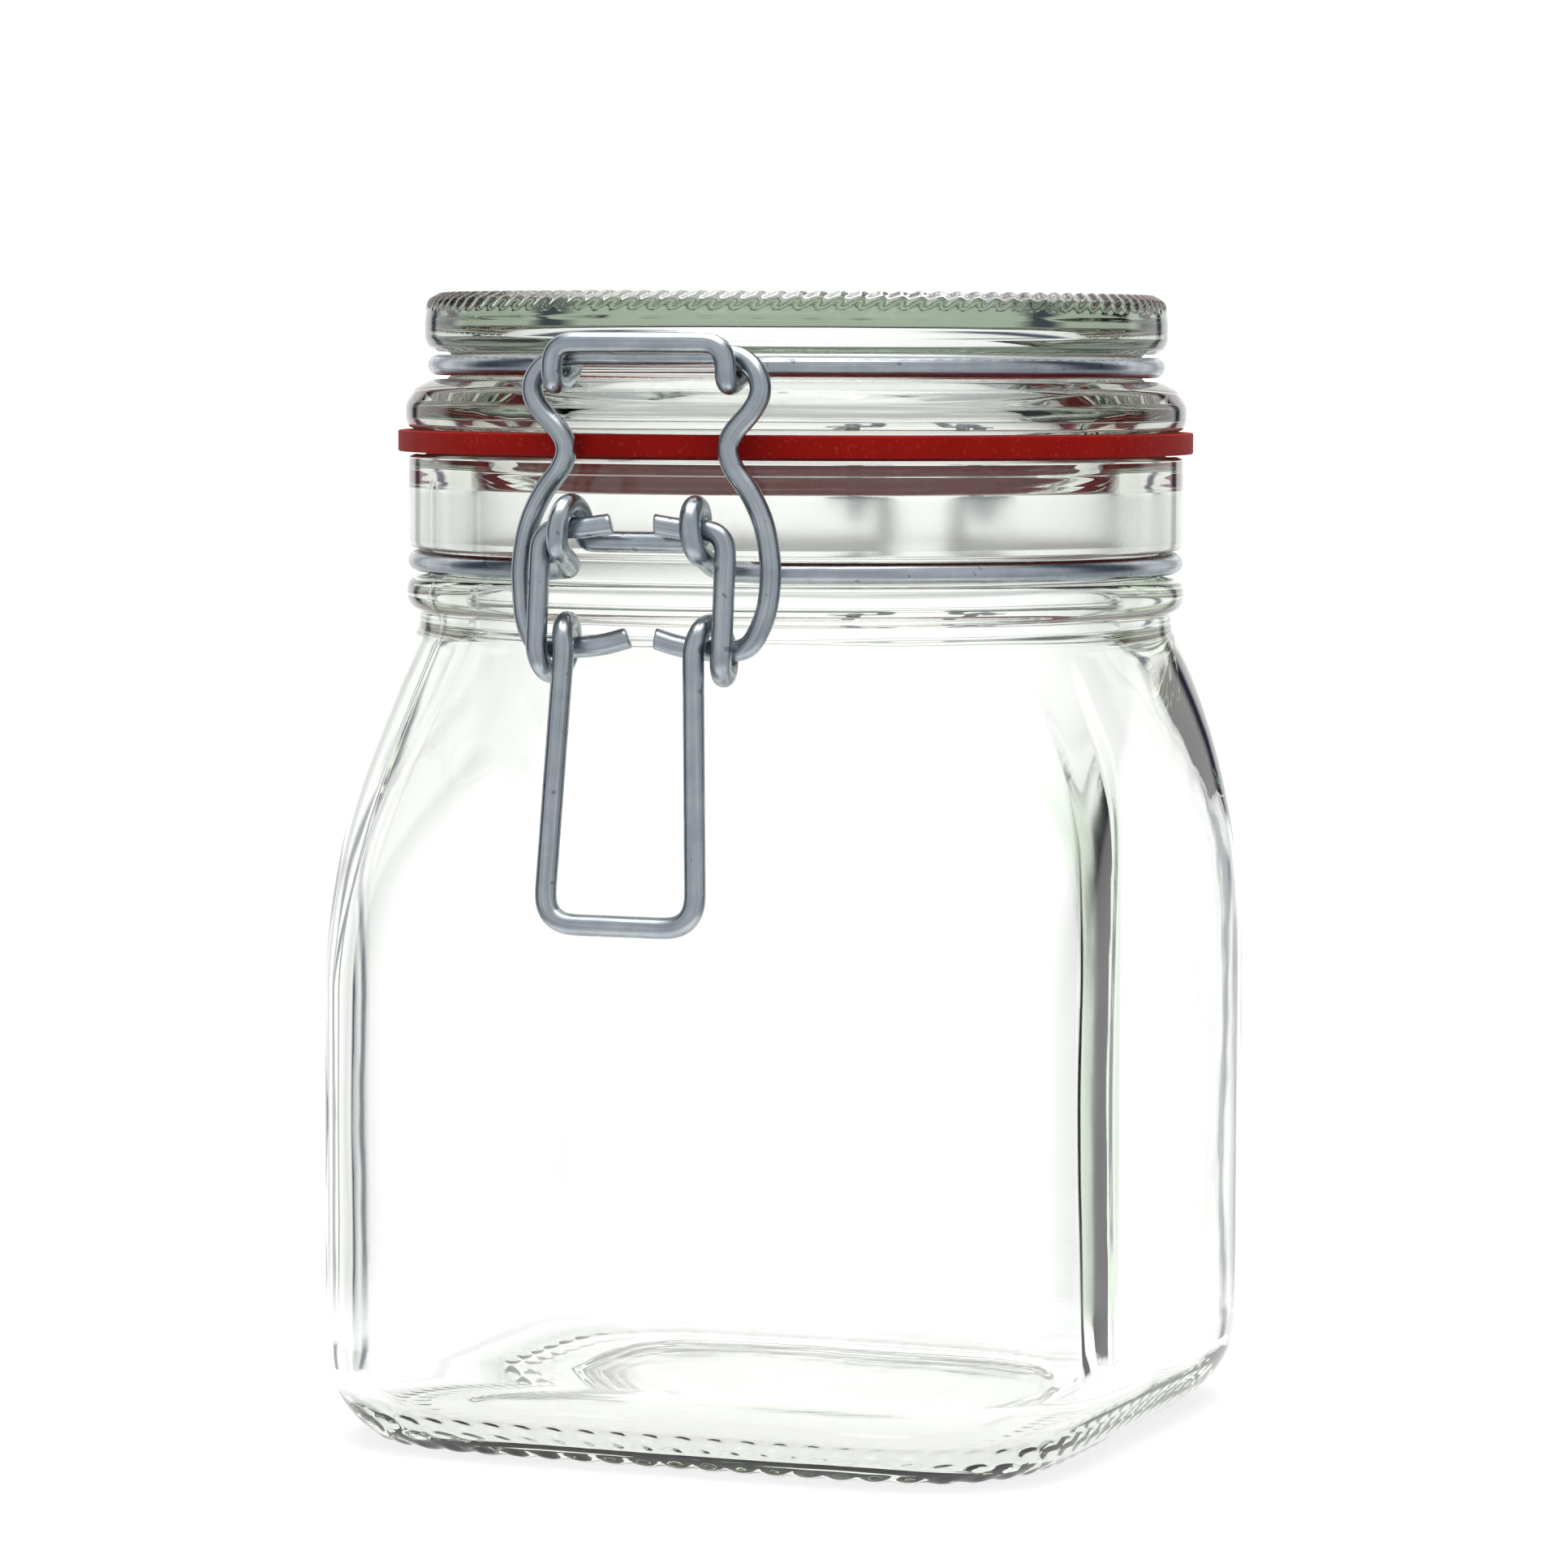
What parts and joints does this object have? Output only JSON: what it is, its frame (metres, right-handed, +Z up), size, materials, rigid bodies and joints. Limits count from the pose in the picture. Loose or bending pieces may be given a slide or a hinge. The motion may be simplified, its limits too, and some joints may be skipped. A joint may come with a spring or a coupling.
{
  "type": "bail clamp jar",
  "caption": "Square-bodied glass preserving jar with a hinged glass lid, rubber sealing ring and an over-centre wire bail clamp.",
  "frame": {"origin": "centre of the flat base, on the axis of the neck", "axes": "+Z up along the neck axis, -Y towards the latch, +Y towards the hinge, +X to the right seen from the latch"},
  "size_m": [0.094, 0.1097, 0.1332],
  "materials": {
    "clear_glass": "clear pressed soda-lime glass with a faint green tint in thick places",
    "red_rubber": "matte natural rubber",
    "zinc_wire": "zinc-plated drawn steel wire, satin"
  },
  "bodies": {
    "jar": {"glass_jar": "clear_glass", "neck_wire": "zinc_wire"},
    "lid": {"glass_lid": "clear_glass", "rubber_ring": "red_rubber", "lid_wire": "zinc_wire"},
    "lever": {"lever": "zinc_wire"},
    "bail": {"bail": "zinc_wire"}
  },
  "joints": [
    {"name": "lid_hinge", "type": "hinge", "parent": "jar", "child": "lid", "pos_m": [0, 0.0505, 0.109], "axis": [-1, 0, 0], "range_deg": [0, 110]},
    {"name": "lever_swing", "type": "hinge", "parent": "jar", "child": "lever", "pos_m": [0, -0.0502, 0.1066], "axis": [-1, 0, 0], "range_deg": [0, 92]},
    {"name": "bail_swing", "type": "hinge", "parent": "lever", "child": "bail", "pos_m": [0, -0.0486, 0.0934], "axis": [1, 0, 0], "range_deg": [0, 161]}
  ],
  "couplings": [
    {"joint": "bail_swing", "follows": "lever_swing", "ratio": 1.75}
  ]
}
